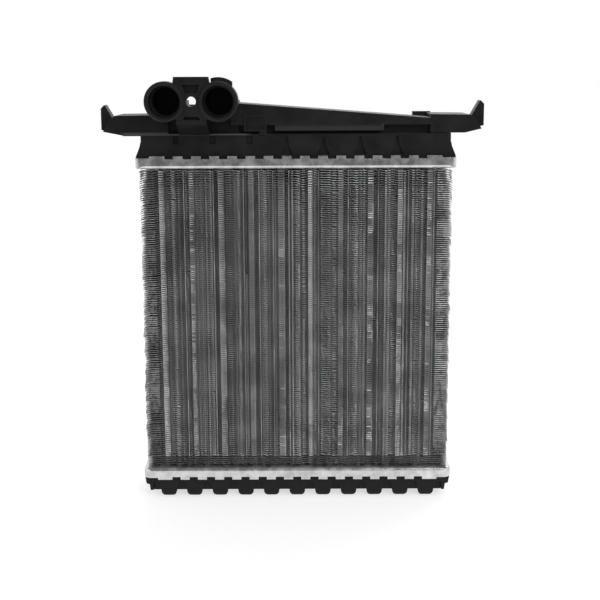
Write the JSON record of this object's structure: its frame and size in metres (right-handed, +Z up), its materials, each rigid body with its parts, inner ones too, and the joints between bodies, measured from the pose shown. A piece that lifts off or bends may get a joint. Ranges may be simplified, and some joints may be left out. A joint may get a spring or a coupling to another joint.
{
  "type": "heater core",
  "caption": "Plate-fin heater core with round tubes, crimped header trays and moulded tanks; both pipe ports face forward over the inlet tank.",
  "frame": {"origin": "middle of the underside of the bottom tank, on the foot of its middle pod", "axes": "+Z up through the core to the ports' tank, -Y the way the pipe ports face, +X to the right seen from the ports"},
  "size_m": [0.2255, 0.063, 0.2529],
  "materials": {
    "fin_aluminium": "thin rolled sheet, slightly dull",
    "tray_aluminium": "pressed sheet, dull silver",
    "tube_aluminium": "drawn tube, plain",
    "gasket_rubber": "moulded black rubber",
    "tank_plastic": "moulded black glass-filled nylon, matt"
  },
  "bodies": {
    "root": {"fin_pack": "fin_aluminium", "top_header": "tray_aluminium", "bottom_header": "tray_aluminium", "top_gasket": "gasket_rubber", "bottom_gasket": "gasket_rubber", "top_tank": "tank_plastic", "bottom_tank": "tank_plastic", "tube_front_1": "tube_aluminium", "tube_front_2": "tube_aluminium", "tube_front_3": "tube_aluminium", "tube_front_4": "tube_aluminium", "tube_front_5": "tube_aluminium", "tube_front_6": "tube_aluminium", "tube_front_7": "tube_aluminium", "tube_front_8": "tube_aluminium", "tube_front_9": "tube_aluminium", "tube_front_10": "tube_aluminium", "tube_rear_1": "tube_aluminium", "tube_rear_2": "tube_aluminium", "tube_rear_3": "tube_aluminium", "tube_rear_4": "tube_aluminium", "tube_rear_5": "tube_aluminium", "tube_rear_6": "tube_aluminium", "tube_rear_7": "tube_aluminium", "tube_rear_8": "tube_aluminium", "tube_rear_9": "tube_aluminium"}
  },
  "joints": []
}
